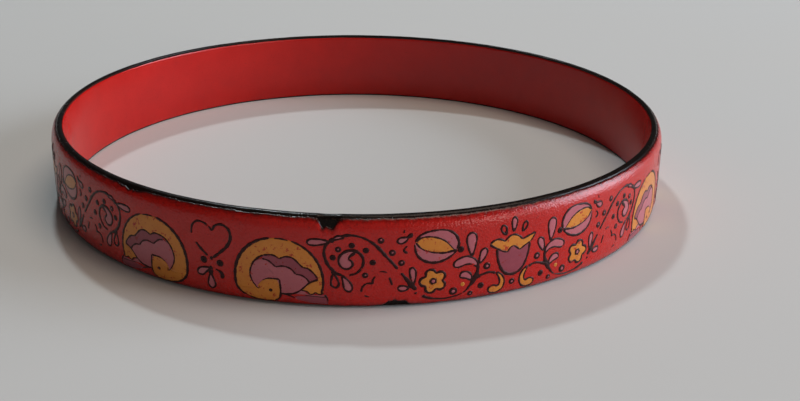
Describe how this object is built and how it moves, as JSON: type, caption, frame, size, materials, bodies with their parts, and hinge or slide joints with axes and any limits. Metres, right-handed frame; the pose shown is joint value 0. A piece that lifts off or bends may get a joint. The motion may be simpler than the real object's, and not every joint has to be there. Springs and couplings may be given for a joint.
{
  "type": "enamelled bangle bracelet",
  "caption": "Closed round bangle: a domed metal band in black and red enamel, printed all round with hearts, curled birds, tulips and fruit.",
  "frame": {"origin": "on the ring's axis, in the plane of the lower rim that the bangle stands on", "axes": "+Z along the ring's axis, up from the lower rim to the upper; -Y the front, where the ornament starts"},
  "size_m": [0.0687, 0.0687, 0.0088],
  "materials": {
    "band_metal": "drawn sheet metal, hidden under enamel",
    "solder": "hard solder, filed flush",
    "black_ground_enamel": "fired glass enamel, glossy, worn along the rims",
    "red_cover_enamel": "fired glass enamel, glossy with a fine orange peel",
    "red_counter_enamel": "fired glass enamel, glossy",
    "ochre_transfer": "fired on-glaze colour, worn",
    "mauve_transfer": "fired on-glaze colour, worn",
    "plum_transfer": "fired on-glaze colour, worn",
    "black_transfer": "fired on-glaze line, worn"
  },
  "bodies": {
    "root": {"bird_body_1_left": "ochre_transfer", "bird_body_1_right": "ochre_transfer", "bird_body_2_left": "ochre_transfer", "bird_body_2_right": "ochre_transfer", "bird_body_3_left": "ochre_transfer", "bird_body_3_right": "ochre_transfer", "bird_body_4_left": "ochre_transfer", "bird_body_4_right": "ochre_transfer", "bird_wing_1_left": "mauve_transfer", "bird_wing_1_right": "mauve_transfer", "bird_wing_2_left": "mauve_transfer", "bird_wing_2_right": "mauve_transfer", "bird_wing_3_left": "mauve_transfer", "bird_wing_3_right": "mauve_transfer", "bird_wing_4_left": "mauve_transfer", "bird_wing_4_right": "mauve_transfer", "blossom_1_left": "ochre_transfer", "blossom_1_right": "ochre_transfer", "blossom_2_left": "ochre_transfer", "blossom_2_right": "ochre_transfer", "blossom_3_left": "ochre_transfer", "blossom_3_right": "ochre_transfer", "counter_enamel": "red_counter_enamel", "cover_enamel": "red_cover_enamel", "fruit_seed_1_left": "ochre_transfer", "fruit_seed_1_right": "ochre_transfer", "fruit_seed_2_left": "ochre_transfer", "fruit_seed_2_right": "ochre_transfer", "fruit_seed_3_left": "ochre_transfer", "fruit_seed_3_right": "ochre_transfer", "fruit_skin_1_left": "mauve_transfer", "fruit_skin_1_right": "mauve_transfer", "fruit_skin_2_left": "mauve_transfer", "fruit_skin_2_right": "mauve_transfer", "fruit_skin_3_left": "mauve_transfer", "fruit_skin_3_right": "mauve_transfer", "ground_coat_inner": "black_ground_enamel", "ground_coat_outer": "black_ground_enamel", "heart_1": "black_transfer", "heart_2": "black_transfer", "heart_3": "black_transfer", "heart_4": "black_transfer", "metal_band": "band_metal", "solder_seam": "solder", "tulip_crown_1": "ochre_transfer", "tulip_crown_2": "ochre_transfer", "tulip_crown_3": "ochre_transfer", "tulip_crown_4": "ochre_transfer", "tulip_cup_1": "plum_transfer", "tulip_cup_2": "plum_transfer", "tulip_cup_3": "plum_transfer", "tulip_cup_4": "plum_transfer"}
  },
  "joints": []
}
